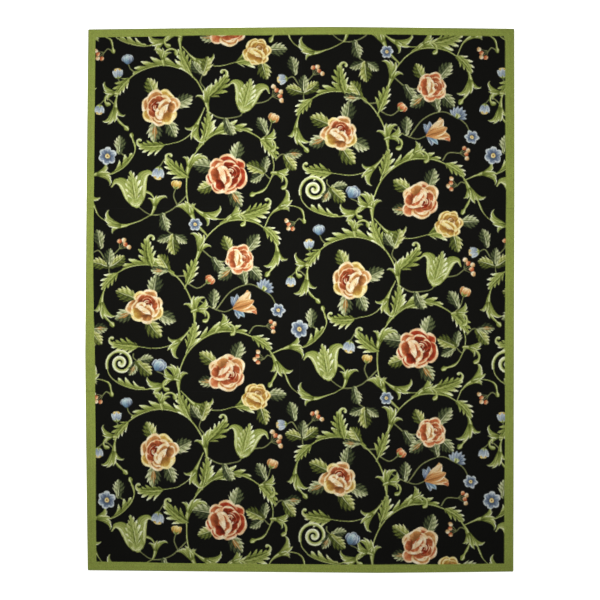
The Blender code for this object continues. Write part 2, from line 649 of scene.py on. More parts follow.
@dataclass(frozen=True)
class Sheath:
    """Where three pairs of lobes part from a stem: how far along, and their size on each side."""

    place: float
    left: float
    right: float


@dataclass(frozen=True)
class Husk:
    """An acanthus leaf that wraps a stem: where it starts and its size."""

    place: float
    length: float
    width: float


@dataclass(frozen=True)
class Plume:
    """A fringe of lobes along one side of a stem, 1 for the left or -1."""

    start: float
    end: float
    side: int
    size: float


@dataclass(frozen=True)
class Scroll(Motif):
    """A scroll stem that winds round, with plumes, husks and sheaths of lobes along it."""

    spine: Spine
    growths: tuple[Sheath | Husk | Plume, ...] = ()
    thick: float = 1.9
    thin: float = 1.3
    knob: float = 1.1
    tip: float = 0.0

    def grown(self, kind: type) -> Iterator[Sheath | Husk | Plume]:
        """Return what grows on the stem, of one kind."""
        return (growth for growth in self.growths if isinstance(growth, kind))

    def half(self, place: np.ndarray) -> np.ndarray:
        """Find the stem's half width: it swells into each sheath and ends in a knob.

        Args:
            place: Places along the stem, from 0 to 1.

        Returns:
            Half widths, in centimetres.
        """
        stem = 0.23 * (self.thick + (self.thin - self.thick) * place)
        for sheath in self.grown(Sheath):
            away = (place - sheath.place) * self.spine.length
            swell = peak(away, 0, np.where(away < 0, 6.0, 0.9))
            stem = stem + 0.18 * max(sheath.left, sheath.right) * swell
        left = (1 - place) * self.spine.length
        knob = peak(left, 0.7, 1.2) + 0.35 * peak(left, 5.5, 3.0)
        return stem + self.knob * knob

    def tone(self, place: np.ndarray, side: np.ndarray) -> np.ndarray:
        """Return a stem with a light line on its left and dark edges."""
        line = peak(side, 0.35, 0.36)
        return 0.34 + 0.42 * line + 0.06 * np.sin(9 * side + 3 * place) - 0.22 * np.abs(side) ** 4

    def parts(self) -> Iterator[Motif]:
        """Return the plumes, then the stem with its tip, then what sits over it."""
        yield from map(self.plume, self.grown(Plume))
        yield Ribbon(self.spine, self.half, self.tone, Dye.SCROLL)
        if self.tip > 0:
            end, heading = self.spine.at(1.0)
            bend = 24 * chance(self.tip, end[0])
            yield Frond(*end, heading, self.tip, 0.62 * self.tip, bend, math.copysign(200, bend))
        yield from map(self.husk, self.grown(Husk))
        for sheath in self.grown(Sheath):
            yield from self.sheath(sheath)

    def husk(self, husk: Husk) -> Frond:
        """Shape a leaf that wraps the stem and bends with it.

        Args:
            husk: Where it starts, and its size.

        Returns:
            The leaf.
        """
        root, heading = self.spine.at(husk.place)
        after = self.spine.at(min(husk.place + husk.length / self.spine.length, 1.0))[1]
        bend = (after - heading + 180) % 360 - 180
        return Frond(*root, heading, 1.3 * husk.length, husk.width, bend, light=0.06)

    def sheath(self, sheath: Sheath) -> Iterator[Lobe]:
        """Shape the lobes of one sheath, from the outer pair to the inner one.

        Args:
            sheath: Where the lobes part, and their size on each side.

        Returns:
            The six lobes.
        """
        point, heading = self.spine.at(max(sheath.place - 2.6 / self.spine.length, 0))
        for aside, lean, reach, bend, light in (
            (0.40, 14, 1.60, 112, 0.00), (0.26, 10, 1.30, 48, 0.10), (0.08, 2, 1.15, 12, 0.04),
        ):
            for side, size in ((1, sheath.left), (-1, sheath.right)):
                uneven = chance(size, sheath.place, side, lean)
                root = point + turned(0, side * aside * self.thick, heading)
                length = size * reach * (1 + 0.14 * uneven)
                turn = side * bend * (1 + 0.2 * uneven)
                yield Lobe(*root, heading + side * lean, length, size * 0.40, turn, light, 0.7)

    def plume(self, plume: Plume) -> Ribbon:
        """Shape one fringe of lobes that sweep forward along the stem.

        Args:
            plume: Where the fringe starts and ends, its side and its size.

        Returns:
            The fringe.
        """
        within = (self.spine.along >= plume.start) & (self.spine.along <= plume.end)
        fringe = Spine(self.spine.points[within])
        own = chance(plume.start, self.spine.length)

        def tooth(place: np.ndarray) -> np.ndarray:
            """Return how far each place has come along its lobe, from 0 to 1."""
            return (place**1.1 * fringe.length / 5.4 + 0.3 + 0.2 * own) % 1.0

        def crease(place: np.ndarray, side: np.ndarray) -> np.ndarray:
            """Return how deep in the crease between two lobes each place lies."""
            return peak(tooth(place), 0, 0.24) * smooth(0.1, 0.4, np.abs(side))

        def half(place: np.ndarray) -> np.ndarray:
            """Return the half width on the fringe's side: full in the middle, and lobed."""
            return 0.2 + 0.62 * plume.size * bulge(place, 0.06, 0.9, 0.7) * (0.30 + 0.77 * lobe(tooth(place)))

        def tone(place: np.ndarray, side: np.ndarray) -> np.ndarray:
            """Return pale lobe tips over darker flesh, with a dark crease between lobes."""
            pale = smooth(0.3, 0.95, np.abs(side)) * (0.3 + 0.7 * smooth(0.15, 0.85, tooth(place)))
            return 0.25 + 0.56 * pale - 0.18 * crease(place, side) + 0.05 * own

        halves = (half, lambda place: 0.2 + 0 * place)[:: plume.side]
        return Ribbon(fringe, halves[0], tone, Dye.SCROLL, halves[1], 0.9, 1.0)


@dataclass(frozen=True)
class Twig(Placed):
    """A short branch that flares in a sheath and ends in a curled hook."""

    length: float
    bend: float
    flare: float = 5.0

    def parts(self) -> Iterator[Motif]:
        """Return the branch, whose larger lobes are on the outside of its curl."""
        spine = Spine.curl(self.out(0), self.turn, self.length, self.bend, 0.55)
        away, near = self.flare, self.flare * 0.7
        sides = (near, away) if self.bend > 0 else (away, near)
        yield Scroll(spine, (Sheath(0.40, *sides),), 1.7, 1.6, 0.95)


@dataclass(frozen=True)
class Sprig(Placed):
    """A fan of saw-edged leaves on short stalks, at the end of a stem. The rust one has warm strands."""

    leaves: int = 3
    rust: int = -1
    size: float = 9.2
    spread: float = 64.0

    def parts(self) -> Iterator[Motif]:
        """Return the leaves, the middle one last."""
        middle = (self.leaves - 1) / 2
        for number in sorted(range(self.leaves), key=lambda number: -abs(number - middle)):
            uneven = math.sin(3.1 * number + self.x)
            length = self.size * (1.0 - 0.12 * abs(number - middle) + 0.06 * uneven)
            yield Leaf(
                self.x, self.y, self.turn + (number - middle) * self.spread, length,
                length * (0.74 + 0.05 * uneven), 16 * uneven, Dye.OLIVE if uneven > 0.4 else Dye.LEAF,
                Dye.RUST if number == self.rust else Dye.LEAF,
            )


@dataclass(frozen=True)
class Volute(Placed):
    """A spiral scroll that winds in to a round eye, to the left for a hand of 1."""

    radius: float = 8.0
    winds: float = 2.0
    hand: int = -1
    thick: float = 2.2

    def parts(self) -> Iterator[Motif]:
        """Return the spiral, from its outer end to its eye."""
        share = np.linspace(0, 1, 44)
        degrees = self.turn + 360 * self.hand * share * self.winds
        yield Ribbon(
            Spine.around(self.out(0), degrees, self.radius * (1 - 0.93 * share**0.85)),
            lambda place: self.thick / 2 * (0.7 + 0.3 * place),
            lambda place, side: 0.62 - 0.34 * side * self.hand + 0.16 * place - 0.2 * np.abs(side) ** 5,
            Dye.SCROLL,
        )


@dataclass(frozen=True)
class Flower(Placed):
    """A flower, whose parts are given as shares of its size and at angles from its turn."""

    size: float = 1.0

    def petal(
        self, away: float, angle: float, lean: float, deep: float, wide: float, *yarn: Dye | float
    ) -> Petal:
        """Return a petal: where its middle lies, its lean, its half sizes, then its yarns and tones."""
        size = self.size
        return Petal(*self.out(size * away, angle), self.turn + lean, size * deep, size * wide, *yarn)

    def strap(
        self, lean: float, length: float, bend: float, dye: Dye, half: Profile, tone: Toning,
        tighten: float = 0.0,
    ) -> Ribbon:
        """Return a long petal that grows from the flower's root."""
        spine = Spine.curl(self.out(0), self.turn + lean, length * self.size, bend, tighten)
        return Ribbon(spine, lambda place: self.size * half(place), tone, dye)

    def cup(self, length: float, width: float, light: float, *lobes: tuple[float, float]) -> Iterator[Lobe]:
        """Return the green lobes at the flower's root, each given by its lean and its bend."""
        for lean, bend in lobes:
            yield Lobe(self.x, self.y, self.turn + lean, length * self.size, width * self.size, bend, light)


@dataclass(frozen=True)
class Calyx(Flower):
    """A leaf cup: two broad side leaves that roll over, a standing middle leaf and a banded bowl."""

    def side_leaf(self, side: int) -> Ribbon:
        """Shape the leaf that rolls over on one side.

        Args:
            side: 1 for the right side or -1.

        Returns:
            The leaf, broad and then drawn to a point, with light along its outer edge and its roll.
        """
        tall = self.size * (1.0 if side > 0 else 0.9)
        knots = ((1.6, 1.6), (3.1, 6.4), (3.9, 11.0), (5.8, 15.0), (9.2, 16.2), (11.6, 13.6))
        upright = [turned(side * x * self.size, y * tall, self.turn - 90) for x, y in knots]
        return Ribbon(
            Spine.through(self.out(0) + np.array(upright)),
            lambda place: (1.7 + 1.3 * bulge(place, 0, 0.8)) * (1 - 0.78 * smooth(0.62, 1, place))
            * self.size,
            lambda place, across: 0.30 + 0.34 * peak(across * side, -0.62, 0.3)
            + 0.16 * place + 0.05 * np.sin(9 * across + 2 * place) - 0.16 * smooth(0.3, 1, across * side),
            Dye.SCROLL,
        )

    def parts(self) -> Iterator[Motif]:
        """Return the side leaves, the bowl and its bands, the inner leaves and the knob."""
        size = self.size
        yield from (self.side_leaf(side) for side in (-1, 1))
        yield self.petal(3.4, 0, 180, 3.9, 4.2, Dye.SCROLL, 0.3, 0.5, 0.3, 0.86, 0.01)
        for radius, light in ((3.3, 0.85), (2.3, 0.7)):
            low = self.out(3.4 * size)
            yield Lip(*low, self.turn + 180, radius * size, 150, 0.55 * size, Dye.SCROLL, light)
        for lean, length, width, bend, lobes, light in (
            (-16, 13.0, 5.0, 16, 4, 0.0), (16, 13.0, 5.0, -16, 4, 0.0), (0, 16.5, 7.0, 3, 5, 0.14),
        ):
            root = self.out(2.4 * size)
            yield Frond(*root, self.turn + lean, length * size, width * size, bend, 0.0, lobes, light)
        yield self.petal(-0.4, 0, 0, 0.9, 1.5, Dye.SCROLL, 0.4, 0.7, 0.8)


@dataclass(frozen=True)
class RoseYarns:
    """The yarns of one kind of rose, how many petals its rings have, and how light it is."""

    outer: tuple[Dye, ...]
    inner: tuple[Dye, ...]
    front: Dye
    heart: Dye
    outer_count: int
    inner_count: int
    lightness: float


class RoseKind(Enum):
    """The roses of the rug, each with its yarns."""

    RED = RoseYarns((Dye.RED, Dye.RED, Dye.CORAL), (Dye.RED, Dye.CORAL), Dye.CORAL, Dye.RED, 7, 5, 0.0)
    CORAL = RoseYarns((Dye.CORAL, Dye.PEACH), (Dye.CORAL, Dye.PEACH), Dye.CORAL, Dye.RED, 6, 4, 0.06)
    PEACH = RoseYarns((Dye.PEACH, Dye.GOLD), (Dye.CORAL, Dye.PEACH), Dye.PEACH, Dye.RED, 7, 5, 0.02)
    YELLOW = RoseYarns((Dye.GOLD,), (Dye.GOLD, Dye.PEACH), Dye.GOLD, Dye.RUST, 6, 4, 0.06)
    SMALL = RoseYarns((Dye.CORAL,), (Dye.CORAL, Dye.PEACH), Dye.PEACH, Dye.CORAL, 6, 4, 0.1)


@dataclass(frozen=True)
class Rose(Flower):
    """A full rose, seen a little from one side, so that its heart lies towards its turn."""

    kind: RoseKind = RoseKind.RED
    leaf_angles: tuple[float, ...] = ()

    def lit(
        self, away: float, angle: float, lean: float, deep: float, wide: float, dye: Dye, root: float,
        tip: float, rim_from: float = 0.76, fold: float = 0.08,
    ) -> Petal:
        """Return a petal whose tones take the rose's own lightness, with a light rim."""
        tones = (tone + self.kind.value.lightness for tone in (root, tip))
        return self.petal(away, angle, lean, deep, wide, dye, *tones, 1.0, rim_from, 0.045, fold)

    def fold(
        self, away: float, angle: float, facing: float, radius: float, sweep: float, thick: float,
        light: float,
    ) -> Lip:
        """Return the light edge of an inner petal, as an arc that faces some way from its centre."""
        middle, size = self.out(self.size * away, angle), self.size
        return Lip(*middle, self.turn + facing, radius * size, sweep, thick * size, Dye.CREAM, light)

    def leaves(self) -> Iterator[Leaf]:
        """Return the leaves that show round the rose."""
        for number, angle in enumerate(self.leaf_angles):
            root = self.out(0.72 * self.size, angle - self.turn)
            uneven = chance(angle, self.x, self.y)
            length = 10.5 * (1 + 0.16 * uneven)
            dye = Dye.OLIVE if number % 3 == 1 else Dye.LEAF
            rib = Dye.RUST if number % 5 == 2 else Dye.LEAF
            yield Leaf(*root, angle + 26 * uneven, length, 0.74 * length, 24 * uneven, dye, rib, 0.5)

    def rings(self) -> Iterator[Petal]:
        """Return two rings of uneven petals that face outwards, laid so that they lap unevenly."""
        yarns = self.kind.value
        for count, first, away, deep, wide, dyes, root, tip in (
            (yarns.outer_count, 12, 0.60, 0.42, 0.44, yarns.outer, -0.08, 0.42),
            (yarns.inner_count, 50, 0.38, 0.40, 0.42, yarns.inner, 0.0, 0.4),
        ):
            for number in sorted(range(count), key=lambda number: (number * 3) % count):
                uneven = chance(number, self.x, self.y, away)
                angle = first + 360 * number / count + 9 * uneven
                yield self.lit(
                    away * (1 + 0.08 * uneven), angle, angle + 16 * uneven, deep * (1 + 0.12 * uneven),
                    wide * (1 + 0.16 * chance(angle, away)), dyes[number % len(dyes)], root,
                    tip + 0.14 * uneven, 0.74 + 0.08 * uneven, 0.10,
                )

    def parts(self) -> Iterator[Motif]:
        """Return the leaves, the rings of outer petals, then the heart and the petals in front of it."""
        yarns = self.kind.value
        back, well, front = yarns.inner[0], yarns.heart, yarns.front
        yield from self.leaves()
        yield from self.rings()
        yield self.lit(0.40, -48, -20, 0.30, 0.34, back, 0.05, 0.34, 0.78)
        yield self.lit(0.42, 44, 24, 0.30, 0.36, back, 0.02, 0.28, 0.80)
        yield self.lit(0.46, 0, 4, 0.26, 0.36, back, 0.0, 0.25, 0.82)
        yield self.lit(0.22, 8, 0, 0.30, 0.32, well, -0.05, 0.20, 0.86, 0.02)
        yield self.fold(0.20, 10, 60, 0.17, 150, 0.07, 0.75)
        yield self.fold(0.16, -20, 250, 0.19, 170, 0.09, 0.85)
        yield self.lit(0.20, 10, 40, 0.11, 0.12, well, -0.05, 0.25, 0.7, 0.2)
        yield self.lit(0.26, 118, 30, 0.26, 0.34, front, 0.1, 0.5, 0.50, 0.10)
        yield self.lit(0.30, -112, -34, 0.28, 0.38, front, 0.05, 0.45, 0.55, 0.12)
        yield self.lit(0.36, 176, -8, 0.30, 0.52, front, 0.05, 0.55, 0.34, 0.16)
        yield self.fold(0.06, 180, 170, 0.50, 105, 0.13, 0.98)
        yield self.fold(0.00, 0, 206, 0.33, 90, 0.07, 0.8)
        yield self.lit(0.66, 158, 160, 0.26, 0.40, yarns.outer[-1], 0.10, 0.5, 0.62, 0.1)
        yield self.lit(0.64, 214, 208, 0.24, 0.34, yarns.outer[0], 0.02, 0.45, 0.68, 0.1)


@dataclass(frozen=True)
class BlueFlower(Flower):
    """A flat flower of pale-edged blue petals round a gold eye."""

    def parts(self) -> Iterator[Motif]:
        """Return the petals, then the eye and the dot in it."""
        for number in range(6):
            uneven = chance(number, self.x)
            lean = 60 * number + 6 * uneven
            tones = (0.22, 0.66 + 0.12 * uneven, 0.95, 0.66, 0.05, 0.12)
            yield self.petal(0.58, lean, lean, 0.44 + 0.03 * uneven, 0.38, Dye.BLUE, *tones)
        yield self.petal(0, 0, 0, 0.26, 0.26, Dye.GOLD, 0.9, 0.9, 0.5, 0.7)
        yield self.petal(0, 0, 0, 0.104, 0.104, Dye.RUST, 0.3, 0.3, 0.3)


@dataclass(frozen=True)
class Bellflower(Flower):
    """A hanging blue bell with a gold mouth, which faces its turn, and green sepals."""

    def parts(self) -> Iterator[Motif]:
        """Return the mouth, the three petals and the sepals."""
        yield self.petal(5.6, 0, 0, 1.5, 2.3, Dye.GOLD, 0.1, 0.8, 0.95)
        for lean in (-30, 30, 0):
            yield self.strap(
                0.55 * lean, 6.6, 0.9 * lean, Dye.BLUE,
                lambda place: 1.7 * bulge(place, 0.12, 1.25, 0.8),
                lambda place, side: 0.3 + 0.5 * place + 0.16 * np.abs(side) + 0.08 * side,
            )
        yield from self.cup(2.6, 1.1, 0.0, (-52, -19.8), (52, 21.8), (0, 1))


@dataclass(frozen=True)
class Cornflower(Flower):
    """A fringed blue flower seen from the side, over a green cup."""

    def parts(self) -> Iterator[Motif]:
        """Return the fringe, then the cup."""
        for lean in (-64, 64, -40, 40, -20, 20, 0):
            yield self.strap(
                lean, 7.0 - 0.02 * abs(lean), 0.2 * lean, Dye.BLUE,
                lambda place: 0.35 + 0.95 * bulge(place, 0, 1.3),
                lambda place, side: 0.2 + 0.5 * place + 0.22 * side,
            )
        yield from self.cup(2.8, 1.6, 0.1, (-34, 14.6), (34, -12.6), (0, 1))


@dataclass(frozen=True)
class CupFlower(Flower):
    """A round blue cup of overlapping petals."""

    def parts(self) -> Iterator[Motif]:
        """Return the petals, the back ones first."""
        for away, angle, deep, wide, dye, root, tip in (
            (4.2, -26, 2.6, 2.2, Dye.BLUE, 0.1, 0.5), (4.2, 26, 2.6, 2.2, Dye.BLUE, 0.1, 0.6),
            (4.6, 0, 2.7, 2.5, Dye.BLUE, 0.1, 0.4), (3.4, 0, 2.9, 2.5, Dye.SKY, 0.2, 0.8),
            (3.0, -20, 2.7, 1.7, Dye.BLUE, 0.2, 0.7), (3.0, 20, 2.7, 1.7, Dye.SKY, 0.2, 0.7),
        ):
            yield self.petal(away, angle, 0.6 * angle, deep, wide, dye, root, tip)


@dataclass(frozen=True)
class Tulip(Flower):
    """A flower of long peach petals whose tips flare, over a frill of blue sepals."""

    def parts(self) -> Iterator[Motif]:
        """Return the sepals, then the petals, each streaked, light at its edges and pointed."""
        for lean, length, width, bend, dye in (
            (-78, 6.4, 3.0, -50, Dye.BLUE), (74, 6.8, 3.0, 56, Dye.BLUE), (-56, 7.6, 2.8, -30, Dye.SKY),
            (52, 8.0, 3.0, 34, Dye.BLUE), (-14, 13.4, 5.2, -84, Dye.CORAL), (14, 13.0, 5.4, 80, Dye.PEACH),
            (-17, 12.2, 5.0, -22, Dye.PEACH), (18, 12.6, 5.4, 34, Dye.CREAM), (-1, 11.6, 5.6, 8, Dye.PEACH),
        ):
            yield self.strap(
                lean, length, bend, dye,
                lambda place, half=width / 2: half * bulge(place, 0.14, 1.25, 0.8),
                lambda place, side, own=chance(lean, length): 0.28 + 0.14 * np.sin(5 * side + own)
                + 0.24 * place + 0.42 * smooth(0.55, 0.95, np.abs(side)) * smooth(0.2, 0.6, place),
                0.9,
            )


@dataclass(frozen=True)
class Bud(Flower):
    """A round bud of three petals in a small green cup."""

    dye: Dye = Dye.GOLD

    def parts(self) -> Iterator[Motif]:
        """Return the petals, then the cup."""
        for away, angle, deep, wide, root, tip in (
            (2.6, -28, 2.2, 1.7, 0.2, 0.60), (2.6, 28, 2.2, 1.7, 0.1, 0.50), (2.3, 0, 2.3, 1.6, 0.3, 0.85),
        ):
            yield self.petal(away, angle, 0.5 * angle, deep, wide, self.dye, root, tip, 1.0)
        yield from self.cup(2.4, 1.2, 0.0, (-60, 48), (60, -48))


@dataclass(frozen=True)
class Berries(Flower):
    """A sprig of round berries on thin stalks."""

    count: int = 4

    def parts(self) -> Iterator[Motif]:
        """Return each stalk with its berry."""
        for number in range(self.count):
            lean, away = 26 * number - 13 * (self.count - 1), 5.6 - 1.3 * (number % 2)
            yield Vine(((self.x, self.y), tuple(self.out(away * self.size, lean))), 0.4, 0.35)
            dye = Dye.CORAL if number % 2 else Dye.CREAM
            yield self.petal(away, lean, 120, 1.35, 1.3, dye, 0.25, 0.8, 0.95, 0.9)


@dataclass(frozen=True)
class FieldPattern(Motif):
    """The field's repeat: scroll stems that wind past six roses, with leaf cups and small flowers between."""

    def stems(self) -> Iterator[Motif]:
        """Return the thin stems, then the scroll stems that wind round the roses with what grows on them."""
        for knots in (
            ((49, 12), (40, 4), (30, 2), (22, 7)), ((18, 32), (12, 36), (6, 34)),
            ((42, 30), (38, 33), (34, 28)), ((60, 58), (68, 54), (78, 55), (80, 58)),
            ((86, 62), (92, 63), (96, 66)), ((40, 99), (38, 103), (34, 105)),
            ((54, 146), (62, 141), (70, 138), (76, 140)), ((66, 139), (74, 149), (84, 153), (92, 150)),
            ((88, 152), (96, 147), (100, 139)), ((61, 180), (57, 183), (54, 186)),
            ((36, 2), (38, -6), (42, -9)), ((10, 158), (8, 160), (8, 163)),
            ((5, 168), (2, 172), (-1, 171)), ((9, 92), (6, 94), (4, 92)),
            ((21, 115), (21, 113), (23, 111)), ((11, 62), (6, 66), (2, 63)),
            ((98, 31), (101, 34), (103, 34)), ((15, 74), (13, 75), (12, 77)),
            ((97, 23), (95, 21), (92, 24)), ((97, 113), (94, 114), (92, 112)),
            ((44, 7), (42, 12), (43, 16)), ((84, 126), (87, 130), (93, 130)),
            ((50, 154), (56, 151), (61, 154)), ((60, 70), (57, 74), (58, 78)),
            ((49, 158), (43, 158), (40, 161)), ((58, 172), (66, 166), (74, 166)),
            ((90, 42), (94, 46), (96, 52)), ((8, 163), (9, 168), (13, 173)),
            ((22, 80), (19, 82), (17.5, 85)),
        ):
            yield Vine(knots, 0.8, 0.55)
        for knots, *growths in (
            (((61, -10), (53, 0), (49, 14), (51, 30), (61, 43), (76, 48), (90, 42), (97, 29), (93, 16),
              (85, 12)),
             Sheath(0.14, 7, 4), Sheath(0.34, 4, 7), Plume(0.40, 0.66, 1, 8), Plume(0.50, 0.62, -1, 4),
             Husk(0.70, 11, 7.5)),
            (((58, 40), (61, 53), (59, 67), (51, 79), (37, 84), (22, 80), (12, 69), (11, 56), (17, 49)),
             Husk(0.02, 12, 7.5), Sheath(0.24, 4, 7), Plume(0.40, 0.68, -1, 8), Husk(0.70, 10, 6.6),
             Sheath(0.90, 4, 7)),
            (((53, 77), (47, 89), (46, 103), (52, 117), (65, 126), (80, 126), (93, 119), (99, 107), (95, 97)),
             Husk(0.02, 12, 7.5), Sheath(0.24, 7, 4), Plume(0.42, 0.68, 1, 8), Husk(0.70, 10, 6.6),
             Sheath(0.90, 7, 4)),
            (((50, 115), (54, 128), (53, 143), (45, 157), (31, 164), (16, 162), (6, 152), (4, 139),
              (10, 131)),
             Husk(0.02, 12, 7.5), Sheath(0.24, 4, 6), Plume(0.42, 0.68, -1, 8), Husk(0.70, 10, 6.6),
             Sheath(0.90, 7, 4)),
            (((49, 151), (54, 164), (60, 178), (71, 187), (86, 187), (97, 179), (100, 167), (94, 158)),
             Husk(0.02, 12, 7.5), Sheath(0.26, 7, 4), Plume(0.42, 0.66, 1, 8), Husk(0.68, 10, 6.6),
             Sheath(0.88, 4, 7)),
        ):
            yield Scroll(Spine.through(knots), tuple(growths))

    def branches(self) -> Iterator[Scroll]:
        """Return the shorter scrolls, which end in a leaf, a spiral or a hook."""
        leaf_end = (Sheath(0.42, 6.5, 4.0),), 1.4, 1.0, 0
        for knots, *shape in (
            (((50, 8), (58, 2), (68, -1), (80, 1)), *leaf_end, 15),
            (((59, 60), (53, 48), (46, 42), (37, 40)), *leaf_end, 13),
            (((47, 94), (55, 86), (66, 83), (76, 85)), *leaf_end, 15),
            (((54, 131), (46, 122), (35, 118), (24, 119)), *leaf_end, 14),
            (((30, 2), (22, -2), (12, -4), (2, 1), (-3, 11)), (Sheath(0.5, 4, 7),), 1.2, 1.0, 0.9),
            (((-13, 89), (-9, 97), (-1, 101), (7, 99), (9, 92)), (Sheath(0.5, 7, 4),), 1.4, 1.2, 0.9),
            (((-10, 20), (0, 24), (8, 24), (16, 29), (21, 37), (19, 46)),
             (Sheath(0.3, 5, 6), Plume(0.4, 0.75, 1, 7)), 1.3, 1.2, 0.9),
            (((46, 104), (38, 98), (26, 95), (14, 98), (8, 103), (6.4, 108)),
             (Sheath(0.3, 5, 6), Plume(0.45, 0.8, -1, 7)), 1.5, 1.3, 0),
        ):
            yield Scroll(Spine.through(knots), *shape)

    def items(self) -> Iterator[Placed]:
        """Return what stands at one place: each kind with its rows, which start with x, y and the turn."""
        for kind, *rows in (
            (Volute, (14, 110, 200)),
            (Frond, (61, 66, 40, 15, 8.4, 20, 210), (50, 22, 150, 15, 8.4, -20, -210),
             (31, 163, 110, 15, 8.4, -20, -210)),
            (Twig, (90, 42, 20, 13, -190), (37, 84, 110, 16, -210), (12, 69, 165, 13, 200),
             (66, 127, 60, 16, -220), (46, 100, 150, 15, 220), (53, 138, 30, 15, -215),
             (72, 188, 50, 15, -210), (30, 2, 60, 20, 200), (96, 24, 5, 15, -170)),
            (Calyx, (22, 7, 100, 1.02), (80, 58, 75, 0.98)),
            (Leaf, *((*row, 9, 6.6) for row in (
                (36, 3, -80), (70, 54, -70), (64, 140, 80), (82, 153, 100), (64, 168, -60), (12, 35, 80),
                (93, 45, 112), (3, 173, 98),
            ))),
            (Sprig, (42, -9, -90), (8, 163, 95), (23, 111, -50, 3, 0), (103, 34, -25, 2, 1),
             (92, 24, 150), (58, 78, 100, 2), (40, 161, 150, 2, 1)),
            (Rose, (71, 23, 20, 11.0, RoseKind.RED, (150, 215, 285, 62)),
             (35, 60, 150, 10.2, RoseKind.PEACH, (10, 110, 250, 300)),
             (72, 104, -40, 10.4, RoseKind.CORAL, (60, 140, 215)),
             (88, 91, 60, 7.8, RoseKind.YELLOW, (10, -70)),
             (28, 141, 60, 9.8, RoseKind.PEACH, (60, 140, 200, -30, -84)),
             (79, 167, 0, 8.2, RoseKind.SMALL, (50, 140, 230, -40))),
            (BlueFlower, (6, 34, 20, 5.0), (100, 139, 50, 3.8), (54, 186, 0, 3.6)),
            (Bellflower, (34, 28, -100), (-1, 171, 190, 0.85), (2, 63, -95, 0.85), (12, 77, 95, 0.85)),
            (CupFlower, (34, 105, 70), (17.5, 85, 98, 0.8)),
            (Cornflower, (92, 150, 60, 0.9)),
            (Tulip, (76, 140, 20)),
            (Berries, (96, 66, 30, 1.0, 5), (4, 92, 210, 0.9), (92, 112, 170, 0.9), (93, 130, 5, 0.9),
             (13, 173, 50, 0.95)),
            (Bud, (43, 16, 80, 0.95), (61, 154, 45, 0.95, Dye.CORAL), (96, 52, 68, 1.05, Dye.PEACH)),
        ):
            yield from (kind(*row) for row in rows)

    def parts(self) -> Iterator[Motif]:
        """Return every motif, from the thin stems up to the flowers."""
        for layer in (self.stems, self.branches, self.items):
            yield from layer()


@dataclass(frozen=True)
class Side:
    """One side of the rug, which bows out between its corners to a peak."""

    start: tuple[float, float]
    end: tuple[float, float]
    outward: tuple[int, int]
    reach: float
    peak: float
    roundness: float = 0.3

    def at(self, place: np.ndarray) -> np.ndarray:
        """Return the side's points at places from 0 to 1.

        Args:
            place: Shares of the way from the start to the end.

        Returns:
            Points on the floor, in metres, on a new last axis.
        """
        rise = np.where(place < self.peak, place / self.peak, (1 - place) / (1 - self.peak))
        bow = (1 - self.roundness) * rise + self.roundness * np.sin(rise * math.pi / 2)
        start, end, outward = (np.array(item, float) for item in (self.start, self.end, self.outward))
        chord = start + (end - start) * np.asarray(place)[..., None]
        peak = start + (end - start) * self.peak
        return chord + outward * (self.reach - peak @ outward) * bow[..., None]


@dataclass(frozen=True)
class RugPlan:
    """The rug's plan and edge, in metres: four bowed sides, square corners and a rolled rim."""

    width: float = 2.350
    length: float = 2.990
    thickness: float = 0.010
    rim: float = 0.0055
    foot: float = 0.0008
    corner: float = 0.007
    bottom_left: tuple[float, float] = (0.0138, 0.0144)
    bottom_right: tuple[float, float] = (0.0060, 0.0073)
    top_right: tuple[float, float] = (0.0011, 0.0110)
    top_left: tuple[float, float] = (0.0165, 0.0143)

    @cached_property
    def sides(self) -> dict[str, Side]:
        """Return the four sides, each from its left or near corner on."""
        x, y = self.width / 2, self.length / 2
        low_left = (-x + self.bottom_left[0], -y + self.bottom_left[1])
        low_right = (x - self.bottom_right[0], -y + self.bottom_right[1])
        high_right = (x - self.top_right[0], y - self.top_right[1])
        high_left = (-x + self.top_left[0], y - self.top_left[1])
        return {
            "near": Side(low_left, low_right, (0, -1), y, 0.68),
            "right": Side(low_right, high_right, (1, 0), x, 0.72),
            "far": Side(high_left, high_right, (0, 1), y, 0.56),
            "left": Side(low_left, high_left, (-1, 0), x, 0.40),
        }

    def spread(self, across: np.ndarray, along: np.ndarray) -> np.ndarray:
        """Spread a square over the plan.

        Args:
            across: Shares of the way from the left side to the right one.
            along: Shares of the way from the near side to the far one.

        Returns:
            Points on the floor, with the plan's own sides at 0 and 1.
        """
        u, v = across[..., None], along[..., None]
        near, far = self.sides["near"], self.sides["far"]
        sides = (1 - v) * near.at(across) + v * far.at(across)
        sides = sides + (1 - u) * self.sides["left"].at(along) + u * self.sides["right"].at(along)
        low = (1 - u) * np.array(near.start) + u * np.array(near.end)
        high = (1 - u) * np.array(far.start) + u * np.array(far.end)
        return sides - (1 - v) * low - v * high


